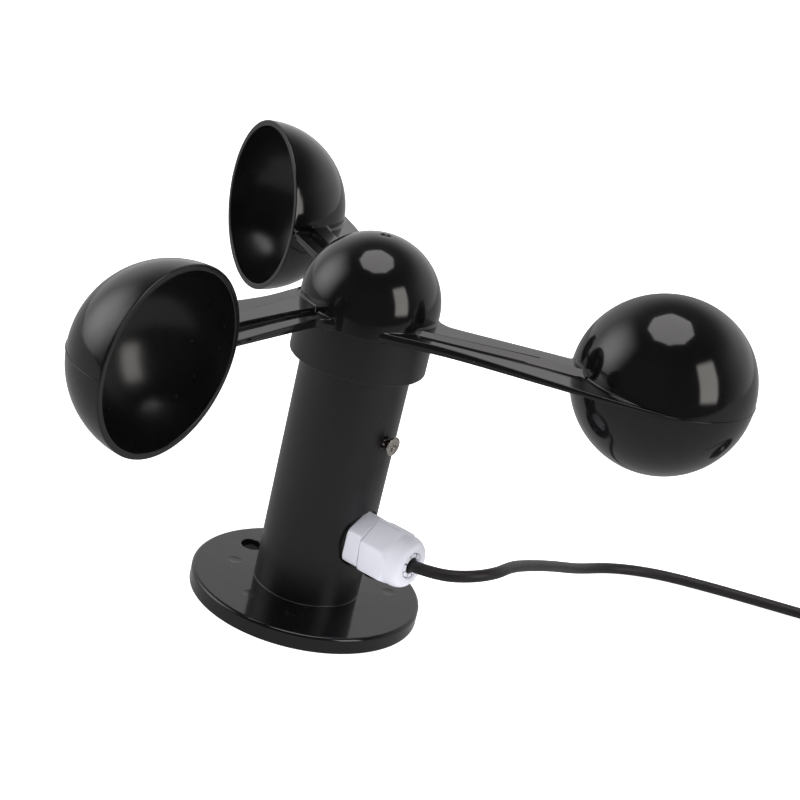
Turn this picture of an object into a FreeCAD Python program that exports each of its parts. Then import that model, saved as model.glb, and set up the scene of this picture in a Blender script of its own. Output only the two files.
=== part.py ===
import FreeCAD, Part
import math
import os

os.makedirs("parts", exist_ok=True)

V = FreeCAD.Vector
UP = V(0, 0, 1)
ORIGIN = V(0, 0, 0)

# ---------------------------------------------------------------- driving dimensions (mm)
# Row frame: origin at the centre of the base's underside, +Z up the shaft, +X along cup 1's arm.

# Base and stand
base_r = 34.2
base_t = 5.0
base_edge_round = 1.0
spigot_h = 10.0
spigot_wall = 2.0
hole_r = 3.25
hole_x = 19.0
hole_y = 15.2
tube_bore_r = 13.8
tube_foot_r = 15.7
tube_top_r = 16.1
tube_top_z = 84.0
glue_gap = 0.05

# Cable gland on the stand
gland_azimuth = -32.0
gland_z = 26.4
seat_x = 14.0
spot_face_r = 9.6
pad_x = 8.5
pad_half_w = 9.5
pad_top_z = 36.9
gasket_t = 1.2
gland_thread_r = 6.2
gland_thread_len = 8.0
gland_flats = 15.8
gland_hex_len = 5.0
nut_gap = 0.4
nut_hex_len = 9.5
nut_len = 13.6
nut_nose_r = 5.6
nut_mouth_r = 3.9
claw_outer_r = 3.75
claw_inner_r = 2.75
claw_count = 8
claw_slot = 0.7

# Bearing carrier, side screw, bearings
carrier_bottom_z = 50.0
carrier_lip_t = 2.0
bearing_bore_r = 2.0
bearing_outer_r = 6.5
bearing_width = 5.0
bearing_pitch_r = 4.25
ball_r = 1.19
ball_count = 7
race_clearance = 0.03
inner_land_r = 3.35
outer_land_r = 5.15
shield_t = 0.25
shield_gap = 0.3
recess_w = 0.45
upper_bearing_z = 80.0
lower_bearing_z = 60.0
shoulder_r = 5.4
magnet_pocket_r = 9.5
pocket_roof_z = 59.2
coring_r = 1.7
coring_pitch_r = 9.7
coring_count = 6
lip_bore_r = 8.5
screw_z = 57.3
screw_thread_r = 1.4
screw_face_x = 18.8
screw_len = 9.05
screw_head_r = 2.85
screw_head_h = 1.9
screw_rim_h = 0.35

# Rotor
hub_r = 20.0
skirt_r = 19.75
hub_wall = 2.1
skirt_bottom_z = 77.0
dome_centre_z = 94.5
plate_mid_z = 91.6
plate_t = 2.4
boss_r = 4.5
boss_end_r = 3.2
shaft_r = 2.0
shaft_bottom_z = 53.4
shaft_top_z = 107.0
cup_centre_r = 85.5
cup_r = 26.5
cup_wall = 1.8
arm_back_y = -0.7
# Arm's front edge from the hub out to the cup, as (x, y) corners
arm_front = [(4.0, -18.9), (22.0, -18.8), (50.0, -22.8), (75.5, -25.7), (78.5, -24.0)]
gusset_y = 2.4
gusset_start_x = 19.6
gusset_end_x = 27.0
gusset_middle = (22.3, 0.15)
rib_h = 1.4
rib_back_root_y = -4.2
rib_back_end_y = -6.6
rib_front_root_y = -13.4
rib_front_middle = (37.0, -13.3)
rib_front_end_y = -12.6
rib_end_x = 64.0

# Circuit board under the carrier
board_r = 13.4
board_t = 1.6
board_screw_y = 11.6
board_screw_r = 0.8

# Sensor cable
cable_r = 1.75
floor_z = 0.0
coil_mean_r = 18.5
coil_pitch = 3.55
turns_per_layer = 3
coil_layers = 4
tie_t = 0.5


# ---------------------------------------------------------------- helpers
def cyl(r, z0, z1, x=0.0, y=0.0):
    return Part.makeCylinder(r, z1 - z0, V(x, y, z0), UP)


def ring(outer_r, inner_r, z0, z1):
    return cyl(outer_r, z0, z1).cut(cyl(inner_r, z0 - 1, z1 + 1))


def box(x0, x1, y0, y1, z0, z1):
    return Part.makeBox(x1 - x0, y1 - y0, z1 - z0, V(x0, y0, z0))


def polygon(points):
    return Part.makePolygon([V(*p) for p in points] + [V(*points[0])])


def revolved(points):
    """Solid of revolution about Z from (radius, z) outline points."""
    face = Part.Face(polygon([(r, 0, z) for r, z in points]))
    return face.revolve(ORIGIN, UP, 360)


def prism(points, z0, z1):
    """Upright prism over a list of (x, y) points."""
    face = Part.Face(polygon([(x, y, z0) for x, y in points]))
    return face.extrude(V(0, 0, z1 - z0))


def turned(shape, degrees):
    out = shape.copy()
    out.rotate(ORIGIN, UP, degrees)
    return out


def to_gland(shape):
    """Lay a shape built along +Z down along the gland's axis, at the gland's height."""
    out = shape.copy()
    out.rotate(ORIGIN, V(0, 1, 0), 90)
    out.rotate(ORIGIN, UP, gland_azimuth)
    out.translate(V(0, 0, gland_z))
    return out


def hexagon(flats, z0, z1):
    corner_r = flats / math.sqrt(3)
    points = []
    for k in range(6):
        angle = math.radians(60 * k)
        points.append((corner_r * math.cos(angle), corner_r * math.sin(angle)))
    return prism(points, z0, z1)


def rounded_hexagon(flats, z0, z1, bevel):
    """Hexagon whose corners are turned off at both ends, as on a nut."""
    corner_r = flats / math.sqrt(3)
    low_r = corner_r - bevel
    slope = bevel * math.tan(math.radians(30))
    turned_off = revolved(
        [(0, z0), (low_r, z0), (corner_r + 0.01, z0 + slope), (corner_r + 0.01, z1 - slope), (low_r, z1), (0, z1)]
    )
    return hexagon(flats, z0, z1).common(turned_off)


def tube_along(points, r):
    """Round bar along straight runs joined by the largest tangent arcs; returns solid, radii and length."""
    edges = []
    radii = []
    length = 0.0
    start = points[0]
    for before, corner, after in zip(points, points[1:], points[2:]):
        run_in = corner - before
        run_out = after - corner
        turn = run_in.getAngle(run_out)
        back = 0.45 * min(run_in.Length, run_out.Length)
        radius = back / math.tan(turn / 2)
        radii.append(radius)
        arc_in = corner - V(run_in).normalize() * back
        arc_out = corner + V(run_out).normalize() * back
        to_centre = V(run_out).normalize() - V(run_in).normalize()
        centre = corner + to_centre.normalize() * math.hypot(back, radius)
        middle = centre + (corner - centre).normalize() * radius
        edges.append(Part.LineSegment(start, arc_in).toShape())
        edges.append(Part.Arc(arc_in, middle, arc_out).toShape())
        length += (arc_in - start).Length + radius * turn
        start = arc_out
    edges.append(Part.LineSegment(start, points[-1]).toShape())
    length += (points[-1] - start).Length
    path = Part.Wire(edges)
    along = points[1] - points[0]
    section = Part.Wire([Part.makeCircle(r, points[0], along)])
    return path.makePipeShell([section], True, False), radii, length


def save(name, *solids):
    shape = solids[0] if len(solids) == 1 else Part.makeCompound(list(solids))
    shape.exportStep("parts/" + name + ".step")
    print(f"{name:26s} solids {len(shape.Solids):2d}  volume {shape.Volume:10.2f}  valid {shape.isValid()}")


# ---------------------------------------------------------------- stand
def base_flange():
    bevel = 0.4
    disc = revolved([(0, 0), (base_r - bevel, 0), (base_r, bevel), (base_r, base_t), (0, base_t)])
    top_edge = [e for e in disc.Edges if e.BoundBox.ZMin > base_t - 0.01 and e.BoundBox.XMax > base_r - 0.1]
    disc = disc.makeFillet(base_edge_round, top_edge)
    spigot_r = tube_bore_r - glue_gap
    spigot = ring(spigot_r, spigot_r - spigot_wall, base_t - 0.5, base_t + spigot_h)
    body = disc.fuse(spigot)
    for side in (-1, 1):
        body = body.cut(cyl(hole_r, -1, base_t + 1, side * hole_x, hole_y))
    return body.removeSplitter()


def stand_tube():
    height = tube_top_z - base_t
    tube = Part.makeCone(tube_foot_r, tube_top_r, height, V(0, 0, base_t), UP)
    tube = tube.cut(cyl(tube_bore_r, base_t - 1, tube_top_z + 1))
    # Moulded pad inside the wall, which carries the gland's thread
    pad = box(pad_x, seat_x, -pad_half_w, pad_half_w, base_t + spigot_h + 1, pad_top_z)
    pad = turned(pad, gland_azimuth).common(cyl(tube_bore_r + 0.5, base_t, tube_top_z))
    tube = tube.fuse(pad)
    spot_face = to_gland(cyl(spot_face_r, seat_x, seat_x + 6))
    thread_hole = to_gland(cyl(gland_thread_r, 0, seat_x + 6))
    tube = tube.cut(spot_face).cut(thread_hole)
    tube = tube.cut(side_screw_bar(screw_thread_r + 0.15, tube_bore_r - 1, tube_top_r + 1))
    return tube.removeSplitter()


def side_screw_bar(r, x0, x1):
    """Round bar on the side screw's axis, from one distance off the shaft axis to another."""
    bar = Part.makeCylinder(r, x1 - x0, V(x0, 0, screw_z), V(1, 0, 0))
    return turned(bar, gland_azimuth)


def side_screw():
    """Countersunk self-tapping screw with a cross recess, standing a little proud of the tube."""
    point_len = 1.2
    point_r = 0.3
    screw = revolved(
        [
            (0, 0),
            (screw_head_r, 0),
            (screw_head_r, -screw_rim_h),
            (screw_thread_r, -screw_head_h),
            (screw_thread_r, point_len - screw_len),
            (point_r, -screw_len),
            (0, -screw_len),
        ]
    )
    recess_depth = 1.1
    recess_reach = 1.45
    recess_half_w = 0.3
    recess_turn = 20
    for turn in (0, 90):
        slot = box(-recess_reach, recess_reach, -recess_half_w, recess_half_w, -recess_depth, 1)
        screw = screw.cut(turned(slot, turn + recess_turn))
    screw.rotate(ORIGIN, V(0, 1, 0), 90)
    screw.translate(V(screw_face_x, 0, screw_z))
    return turned(screw, gland_azimuth)


def bearing_carrier():
    outer_r = tube_bore_r - glue_gap
    lip_top = tube_top_z + carrier_lip_t
    body = revolved(
        [
            (shoulder_r, lower_bearing_z + bearing_width),
            (bearing_outer_r, lower_bearing_z + bearing_width),
            (bearing_outer_r, pocket_roof_z),
            (magnet_pocket_r, pocket_roof_z),
            (magnet_pocket_r, carrier_bottom_z),
            (outer_r, carrier_bottom_z),
            (outer_r, tube_top_z),
            (tube_top_r, tube_top_z),
            (tube_top_r, lip_top - 0.8),
            (tube_top_r - 0.8, lip_top),
            (lip_bore_r, lip_top),
            (lip_bore_r, upper_bearing_z + bearing_width - 0.2),
            (bearing_outer_r, upper_bearing_z + bearing_width - 0.2),
            (bearing_outer_r, upper_bearing_z),
            (shoulder_r, upper_bearing_z),
        ]
    )
    # Coring pockets between the seats keep the wall even
    for k in range(coring_count):
        pocket = cyl(coring_r, pocket_roof_z, upper_bearing_z - 4, coring_pitch_r, 0)
        body = body.cut(turned(pocket, gland_azimuth + 360 * (k + 0.5) / coring_count))
    body = body.cut(side_screw_bar(screw_thread_r, magnet_pocket_r - 1, outer_r + 1))
    for side in (-1, 1):
        body = body.cut(cyl(board_screw_r, carrier_bottom_z - 1, carrier_bottom_z + 6, 0, side * board_screw_y))
    return body


# ---------------------------------------------------------------- bearings
def bearing_outer_ring(z0):
    z1 = z0 + bearing_width
    recess_r = outer_land_r + recess_w
    outer = revolved(
        [
            (outer_land_r, z0 + recess_w),
            (recess_r, z0 + recess_w),
            (recess_r, z0),
            (bearing_outer_r, z0),
            (bearing_outer_r, z1),
            (recess_r, z1),
            (recess_r, z1 - recess_w),
            (outer_land_r, z1 - recess_w),
        ]
    )
    groove = Part.makeTorus(bearing_pitch_r, ball_r + race_clearance, V(0, 0, z0 + bearing_width / 2), UP)
    return outer.cut(groove)


def bearing_inner_ring(z0):
    inner = ring(inner_land_r, bearing_bore_r, z0, z0 + bearing_width)
    groove = Part.makeTorus(bearing_pitch_r, ball_r + race_clearance, V(0, 0, z0 + bearing_width / 2), UP)
    return inner.cut(groove)


def bearing_shields(z0):
    """Two thin discs snapped into the outer ring's recesses, clear of the inner ring."""
    z1 = z0 + bearing_width
    rim_r = outer_land_r + recess_w
    hole = inner_land_r + shield_gap
    low = ring(rim_r, hole, z0 + 0.1, z0 + 0.1 + shield_t)
    high = ring(rim_r, hole, z1 - 0.1 - shield_t, z1 - 0.1)
    return [low, high]


def bearing_balls(z0):
    balls = []
    for k in range(ball_count):
        angle = 2 * math.pi * k / ball_count
        x = bearing_pitch_r * math.cos(angle)
        y = bearing_pitch_r * math.sin(angle)
        balls.append(Part.makeSphere(ball_r, V(x, y, z0 + bearing_width / 2)))
    return balls


def bearing_cage(z0):
    mid = z0 + bearing_width / 2
    cage = ring(bearing_pitch_r + 0.3, bearing_pitch_r - 0.3, mid - 0.9, mid + 1.35)
    for k in range(ball_count):
        angle = 2 * math.pi * k / ball_count
        x = bearing_pitch_r * math.cos(angle)
        y = bearing_pitch_r * math.sin(angle)
        cage = cage.cut(Part.makeSphere(ball_r + race_clearance, V(x, y, mid)))
        open_side = turned(box(0, 2 * bearing_pitch_r, -0.95, 0.95, mid - 2, mid), math.degrees(angle))
        cage = cage.cut(open_side)
    return cage


# ---------------------------------------------------------------- gland, built along +Z from the shaft axis
gasket_x = seat_x + gasket_t
nut_x = gasket_x + gland_hex_len + nut_gap
nose_x = nut_x + nut_len


def gland_body():
    hex_part = rounded_hexagon(gland_flats, gasket_x, gasket_x + gland_hex_len, 0.7)
    thread = cyl(gland_thread_r, gasket_x - gland_thread_len, gasket_x + 0.1)
    neck_end = gasket_x + gland_hex_len + 6.5
    neck = cyl(gland_thread_r - 0.2, gasket_x + gland_hex_len - 0.1, neck_end)
    claws = revolved(
        [
            (claw_inner_r, neck_end - 0.1),
            (claw_outer_r + 1.0, neck_end - 0.1),
            (claw_outer_r + 0.6, nose_x - 3.2),
            (claw_outer_r, nose_x - 1.0),
            (claw_inner_r, nose_x - 1.0),
        ]
    )
    for k in range(claw_count // 2):
        slot = box(-8, 8, -claw_slot / 2, claw_slot / 2, neck_end + 0.5, nose_x)
        claws = claws.cut(turned(slot, 180.0 * k / (claw_count // 2)))
    body = hex_part.fuse(thread).fuse(neck)
    body = body.cut(cyl(claw_inner_r, gasket_x - gland_thread_len - 1, neck_end + 1))
    return to_gland(body.fuse(claws).removeSplitter())


def gland_gasket():
    return to_gland(ring(8.0, gland_thread_r, seat_x, gasket_x))


def gland_seal():
    """Rubber sleeve squeezed round the cable inside the claws."""
    return to_gland(ring(claw_inner_r, cable_r, gasket_x + 4, nose_x - 1.6))


def gland_dome_nut():
    hex_end = nut_x + nut_hex_len
    hex_part = rounded_hexagon(gland_flats, nut_x, hex_end, 0.7)
    shoulder_r = gland_flats / 2
    # Rounded nose: an arc from the shoulder of the hexagon to the flat front
    start = V(shoulder_r, 0, hex_end - 0.5)
    end = V(nut_nose_r, 0, nose_x)
    middle = V(shoulder_r - 0.6, 0, hex_end + 2.4)
    outline = Part.Wire(
        [
            Part.Arc(start, middle, end).toShape(),
            Part.LineSegment(end, V(0, 0, nose_x)).toShape(),
            Part.LineSegment(V(0, 0, nose_x), V(0, 0, hex_end - 0.5)).toShape(),
            Part.LineSegment(V(0, 0, hex_end - 0.5), start).toShape(),
        ]
    )
    nose = Part.Face(outline).revolve(ORIGIN, UP, 360)
    nut = hex_part.fuse(nose)
    thread_end = gasket_x + gland_hex_len + 6.8
    hollow = revolved(
        [
            (0, nut_x - 1),
            (gland_thread_r, nut_x - 1),
            (gland_thread_r, thread_end),
            (claw_outer_r + 1.2, thread_end + 0.6),
            (claw_outer_r + 0.8, nose_x - 3.0),
            (nut_mouth_r, nose_x - 0.8),
            (nut_mouth_r, nose_x + 1),
            (0, nose_x + 1),
        ]
    )
    return to_gland(nut.cut(hollow).removeSplitter())


# ---------------------------------------------------------------- rotor
def rotor_hub():
    inner_r = hub_r - hub_wall
    part_z = plate_mid_z - plate_t / 2 - 0.1
    shell = cyl(skirt_r, skirt_bottom_z, part_z + 0.1)
    shell = shell.fuse(cyl(hub_r, part_z, dome_centre_z))
    shell = shell.fuse(Part.makeSphere(hub_r, V(0, 0, dome_centre_z)).common(cyl(30, dome_centre_z, 130)))
    hollow = cyl(inner_r, skirt_bottom_z - 1, dome_centre_z)
    dome_hollow = Part.makeSphere(inner_r, V(0, 0, dome_centre_z)).common(cyl(30, dome_centre_z, 130))
    shell = shell.cut(hollow.fuse(dome_hollow))
    dome_solid = Part.makeSphere(inner_r + 0.5, V(0, 0, dome_centre_z)).common(cyl(30, dome_centre_z, 130))
    boss_bottom = upper_bearing_z + bearing_width
    boss = cyl(boss_end_r, boss_bottom, boss_bottom + 1).fuse(cyl(boss_r, boss_bottom + 0.6, dome_centre_z))
    boss = boss.fuse(cyl(boss_r, dome_centre_z, 130).common(dome_solid))
    hub = shell.fuse(boss)
    rib_low_z = dome_centre_z + 4
    for k in range(3):
        rib = box(boss_r - 0.5, hub_r, -0.7, 0.7, rib_low_z, 130).common(dome_solid)
        hub = hub.fuse(turned(rib, 120 * k + 60))
    hub = hub.cut(cyl(shaft_r, boss_bottom - 1, shaft_top_z))
    # Gate dimple at the top of the dome
    apex_z = dome_centre_z + hub_r
    hub = hub.cut(cyl(1.5, apex_z - 0.45, apex_z + 1))
    return hub.removeSplitter()


def rotor_arm(k):
    """Flat arm with a raised rib; +X runs out along it, and the cup's mouth is on the +Y side."""
    low = plate_mid_z - plate_t / 2
    high = plate_mid_z + plate_t / 2
    root_x = 8.0
    # Plate outline, with a small curved gusset where its back edge meets the hub
    corners = [V(gusset_end_x, arm_back_y, low), V(cup_centre_r, arm_back_y, low), V(cup_centre_r, -20, low)]
    corners += [V(x, y, low) for x, y in reversed(arm_front)]
    corners += [V(root_x, gusset_y, low), V(gusset_start_x, gusset_y, low)]
    edges = [Part.LineSegment(p, q).toShape() for p, q in zip(corners, corners[1:])]
    edges.append(Part.Arc(corners[-1], V(*gusset_middle, low), corners[0]).toShape())
    plate = Part.Face(Part.Wire(edges)).extrude(V(0, 0, plate_t))
    # The rib's back is straight and its front bows gently outwards
    sunk = high - 0.5
    rib_corners = [
        V(rib_end_x, rib_front_end_y, sunk),
        V(rib_end_x, rib_back_end_y, sunk),
        V(root_x, rib_back_root_y, sunk),
        V(root_x, rib_front_root_y, sunk),
    ]
    edges = [Part.LineSegment(p, q).toShape() for p, q in zip(rib_corners, rib_corners[1:])]
    edges.append(Part.Arc(rib_corners[-1], V(*rib_front_middle, sunk), rib_corners[0]).toShape())
    rib = Part.Face(Part.Wire(edges)).extrude(V(0, 0, rib_h + 0.5))
    hub_clear = cyl(hub_r, low - 2, high + 4)
    cup_clear = Part.makeSphere(cup_r, V(cup_centre_r, 0, plate_mid_z))
    plate = plate.cut(hub_clear).cut(cup_clear)
    rib = rib.cut(hub_clear).cut(cup_clear)
    return turned(plate.fuse(rib).removeSplitter(), 120 * k)


def cup(k):
    centre = V(cup_centre_r, 0, plate_mid_z)
    ball = Part.makeSphere(cup_r, centre).cut(Part.makeSphere(cup_r - cup_wall, centre))
    back_half = box(cup_centre_r - 30, cup_centre_r + 30, -30, 0, plate_mid_z - 30, plate_mid_z + 30)
    return turned(ball.common(back_half), 120 * k)


def rotor_shaft():
    bevel = 0.4
    shaft = revolved(
        [
            (0, shaft_bottom_z),
            (shaft_r - bevel, shaft_bottom_z),
            (shaft_r, shaft_bottom_z + bevel),
            (shaft_r, shaft_top_z - bevel),
            (shaft_r - bevel, shaft_top_z),
            (0, shaft_top_z),
        ]
    )
    return shaft.cut(ring(shaft_r + 1, clip_groove_r, clip_z, clip_z + clip_t))


clip_z = shaft_bottom_z + 1.0
clip_t = 0.6
clip_groove_r = 1.6
holder_bottom_z = clip_z + clip_t + 0.1


def retaining_clip():
    clip = ring(3.4, clip_groove_r, clip_z + 0.05, clip_z + clip_t - 0.05)
    mouth = box(0, 6, -1.35, 1.35, clip_z - 1, clip_z + 2)
    return clip.cut(mouth)


def magnet_holder():
    rim_r = 7.2
    rim_top = holder_bottom_z + 2.8
    holder = revolved(
        [
            (shaft_r, holder_bottom_z),
            (rim_r, holder_bottom_z),
            (rim_r, rim_top),
            (3.2, rim_top),
            (3.2, lower_bearing_z),
            (shaft_r, lower_bearing_z),
        ]
    )
    for side in (-1, 1):
        holder = holder.cut(cyl(1.5, holder_bottom_z - 1, holder_bottom_z + 2, side * 5.0, 0))
    return holder


def magnets():
    return [cyl(1.5, holder_bottom_z, holder_bottom_z + 2, side * 5.0, 0) for side in (-1, 1)]


def bearing_spacer():
    return ring(3.1, shaft_r, lower_bearing_z + bearing_width, upper_bearing_z)


# ---------------------------------------------------------------- circuit board
board_top_z = carrier_bottom_z
board_bottom_z = board_top_z - board_t


def circuit_board():
    board = cyl(board_r, board_bottom_z, board_top_z)
    for side in (-1, 1):
        board = board.cut(cyl(board_screw_r + 0.2, board_bottom_z - 1, board_top_z + 1, 0, side * board_screw_y))
    return board


def board_screws():
    screws = []
    for side in (-1, 1):
        shank = cyl(board_screw_r, board_bottom_z - 0.1, board_top_z + 5, 0, side * board_screw_y)
        head = cyl(1.7, board_bottom_z - 1.3, board_bottom_z, 0, side * board_screw_y)
        screws.append(head.fuse(shank))
    return screws


def hall_sensor():
    body = box(3.2, 5.4, -2.0, 2.0, board_top_z + 0.4, board_top_z + 3.4)
    legs = [box(4.1, 4.5, y - 0.2, y + 0.2, board_top_z, board_top_z + 0.5) for y in (-1.27, 0, 1.27)]
    return body.fuse(legs[0]).fuse(legs[1]).fuse(legs[2])


def driver_chip():
    return box(-6.5, -1.5, -2.0, 2.0, board_bottom_z - 1.6, board_bottom_z)


def small_components():
    """Chip resistors and capacitors soldered to the underside, one solid each."""
    blocks = []
    for x, y in ((-5.5, 5.0), (-3.0, 5.0), (-0.5, 5.0), (-5.5, -5.0), (-3.0, -5.0)):
        blocks.append(box(x - 0.6, x + 0.6, y - 1.0, y + 1.0, board_bottom_z - 0.6, board_bottom_z))
    return blocks


def filter_capacitor():
    return cyl(2.5, board_bottom_z - 6.5, board_bottom_z, 4.0, -8.4)


def wire_header():
    shell = box(2.0, 8.0, -5.0, 5.0, board_bottom_z - 7.0, board_bottom_z)
    return shell.cut(box(2.8, 7.2, -4.2, 4.2, board_bottom_z - 8.0, board_bottom_z - 1.0))


def wire_plug():
    return box(2.9, 7.1, -4.1, 4.1, board_bottom_z - 8.6, board_bottom_z - 1.1)


def gland_point(x, y, z):
    """Point given by its distance along the gland's axis, across it, and its height."""
    angle = math.radians(gland_azimuth)
    return V(x * math.cos(angle) - y * math.sin(angle), x * math.sin(angle) + y * math.cos(angle), z)


inner_end_x = -1.0
inner_end_z = 35.0


def inner_cable():
    """The cable's inner run, through the gland and up to where its jacket is cut back."""
    route = [
        gland_point(nose_x, 0, gland_z),
        gland_point(3.5, 0, gland_z),
        gland_point(inner_end_x, 0, gland_z + 4.5),
        gland_point(inner_end_x, 0, inner_end_z),
    ]
    solid, radii, length = tube_along(route, cable_r)
    return solid


def inner_wires():
    """Three insulated cores from the cable's inner end up to the plug."""
    wires = []
    plug_bottom = board_bottom_z - 8.6
    cable_end = gland_point(inner_end_x, 0, inner_end_z)
    for k in (-1, 0, 1):
        angle = 2 * math.pi * k / 3
        foot = cable_end + V(0.75 * math.cos(angle), 0.75 * math.sin(angle), 0)
        route = [foot, foot + V(0, 0, 2.0), V(5.0, 2.5 * k, plug_bottom - 1.5), V(5.0, 2.5 * k, plug_bottom)]
        solid, radii, length = tube_along(route, 0.5)
        wires.append(solid)
    return wires


# ---------------------------------------------------------------- sensor cable
# Route out of the gland, down to the surface and along it; its last point is where the coil begins.
coil_low_z = floor_z + tie_t + 0.1
coil_half_width = turns_per_layer * coil_pitch / 2
outer_turn_r = coil_mean_r + coil_half_width - coil_pitch / 2
top_turn_z = coil_low_z + (coil_layers - 0.5) * coil_pitch
coil_x = 187.0
coil_y = 67.2 - outer_turn_r
cable_route = [
    (29.0, -18.1, 26.4),
    (36.6, -22.6, 27.6),
    (45.4, -22.2, 29.1),
    (52.7, -16.6, 29.5),
    (57.0, -5.5, 27.6),
    (62.0, 7.5, 23.2),
    (68.0, 23.0, 17.4),
    (74.5, 40.0, 10.6),
    (81.5, 56.0, 4.1),
    (93.0, 68.5, 1.75),
    (108.0, 72.3, 1.75),
    (125.0, 71.8, 1.75),
    (143.0, 70.0, 1.75),
    (160.0, 67.9, 1.85),
    (171.0, 67.2, 2.25),
    (180.0, 67.2, 2.35),
]
# The cable's free end leaves the coil's outermost top turn and comes down beside it.
tail_route = [
    (coil_x + outer_turn_r, coil_y - 7.0, top_turn_z),
    (209.4, 29.0, 11.4),
    (208.5, 20.5, 7.9),
    (206.0, 12.0, 4.2),
    (200.5, 4.5, 2.0),
    (193.0, -1.0, 1.75),
]
lead_r = 0.5
lead_len = 24.0
tip_r = 0.3
tip_len = 5.0
lead_fan = 9.0


def sensor_cable():
    points = [V(*p) for p in cable_route]
    solid, radii, length = tube_along(points, cable_r)
    print("cable radii", [round(r, 1) for r in radii])
    print("cable length", round(length, 1), "volume ratio", round(solid.Volume / (math.pi * cable_r**2 * length), 4))
    return solid


def cable_coil():
    half = coil_half_width + 0.3
    height = coil_layers * coil_pitch + 0.1
    section = [
        (coil_mean_r - half, coil_low_z + 1),
        (coil_mean_r - half + 1, coil_low_z),
        (coil_mean_r + half - 1, coil_low_z),
        (coil_mean_r + half, coil_low_z + 1),
        (coil_mean_r + half, coil_low_z + height - 1),
        (coil_mean_r + half - 1, coil_low_z + height),
        (coil_mean_r - half + 1, coil_low_z + height),
        (coil_mean_r - half, coil_low_z + height - 1),
    ]
    coil = revolved(section)
    coil.translate(V(coil_x, coil_y, 0))
    return coil


def cable_tie():
    """Twist tie round the coil's turns, with its twisted end on top."""
    half_width = 2.0
    reach = coil_half_width + 0.3 + tie_t
    top_z = coil_low_z + coil_layers * coil_pitch + 0.1 + tie_t
    middle_y = coil_y - coil_mean_r
    band = box(
        coil_x - half_width, coil_x + half_width, middle_y - reach, middle_y + reach, coil_low_z - tie_t, top_z
    )
    band = band.cut(cable_coil())
    twist = box(coil_x - 1.0, coil_x + 1.0, middle_y - 3, middle_y + 9, top_z - 0.1, top_z + 1.8)
    return band.fuse(twist)


def cable_tail():
    solid, radii, length = tube_along([V(*p) for p in tail_route], cable_r)
    print("tail radii", [round(r, 1) for r in radii], "length", round(length, 1))
    return solid


def lead_bars(r, start, length):
    """Straight bars for the three cores beyond the jacket, fanned a little."""
    end = V(*tail_route[-1])
    before = V(*tail_route[-2])
    heading = math.degrees(math.atan2(end.y - before.y, end.x - before.x))
    bars = []
    for k in (-1, 0, 1):
        rise = 0.45 if k == 0 else -0.4
        bar = Part.makeCylinder(r, length, V(start, 0, rise), V(1, 0, 0))
        bar.rotate(ORIGIN, UP, lead_fan * k)
        bar.translate(V(0, 0.6 * k, 0))
        bar.rotate(ORIGIN, UP, heading)
        bar.translate(end)
        bars.append(bar)
    return bars


# ---------------------------------------------------------------- build
save("base_flange", base_flange())
save("stand_tube", stand_tube())
save("side_screw", side_screw())
save("bearing_carrier", bearing_carrier())
for name, z in (("upper", upper_bearing_z), ("lower", lower_bearing_z)):
    save(name + "_bearing_outer_ring", bearing_outer_ring(z))
    save(name + "_bearing_inner_ring", bearing_inner_ring(z))
    save(name + "_bearing_shields", *bearing_shields(z))
    save(name + "_bearing_balls", *bearing_balls(z))
    save(name + "_bearing_cage", bearing_cage(z))
save("gland_body", gland_body())
save("gland_gasket", gland_gasket())
save("gland_seal", gland_seal())
save("gland_dome_nut", gland_dome_nut())
save("rotor_hub", rotor_hub())
for k in range(3):
    save(f"rotor_arm_{k + 1}", rotor_arm(k))
    save(f"cup_{k + 1}", cup(k))
save("rotor_shaft", rotor_shaft())
save("bearing_spacer", bearing_spacer())
save("retaining_clip", retaining_clip())
save("magnet_holder", magnet_holder())
save("magnets", *magnets())
save("circuit_board", circuit_board())
save("board_screws", *board_screws())
save("hall_sensor", hall_sensor())
save("driver_chip", driver_chip())
save("small_components", *small_components())
save("filter_capacitor", filter_capacitor())
save("wire_header", wire_header())
save("wire_plug", wire_plug())
save("inner_cable", inner_cable())
save("inner_wires", *inner_wires())
save("sensor_cable", sensor_cable())
save("cable_coil", cable_coil())
save("cable_tie", cable_tie())
save("cable_tail", cable_tail())
save("lead_wires", *lead_bars(lead_r, 0, lead_len))
save("lead_tips", *lead_bars(tip_r, lead_len, tip_len))
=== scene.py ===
import math

import bmesh
import bpy
from mathutils import Matrix, Vector


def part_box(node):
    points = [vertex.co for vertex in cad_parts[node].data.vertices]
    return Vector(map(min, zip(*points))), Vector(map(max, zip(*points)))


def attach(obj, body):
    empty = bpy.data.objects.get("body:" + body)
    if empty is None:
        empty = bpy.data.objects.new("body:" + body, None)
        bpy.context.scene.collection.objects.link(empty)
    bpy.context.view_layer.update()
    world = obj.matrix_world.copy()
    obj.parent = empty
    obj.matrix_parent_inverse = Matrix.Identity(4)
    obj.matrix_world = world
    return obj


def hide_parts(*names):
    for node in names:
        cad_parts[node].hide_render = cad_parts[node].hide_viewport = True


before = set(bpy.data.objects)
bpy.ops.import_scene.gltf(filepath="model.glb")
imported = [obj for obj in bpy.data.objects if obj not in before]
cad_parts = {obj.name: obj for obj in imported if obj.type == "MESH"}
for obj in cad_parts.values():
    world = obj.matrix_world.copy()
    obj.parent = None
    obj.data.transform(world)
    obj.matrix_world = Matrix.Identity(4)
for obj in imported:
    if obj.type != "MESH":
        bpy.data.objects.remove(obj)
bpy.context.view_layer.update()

# Shapes are written in millimetres and turned into metres when a mesh is made.
MM = 0.001
sin, cos, pi, radians = math.sin, math.cos, math.pi, math.radians


def linked(name, data):
    """New object of some data, put in the scene."""
    piece = bpy.data.objects.new(name, data)
    bpy.context.collection.objects.link(piece)
    return piece


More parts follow.
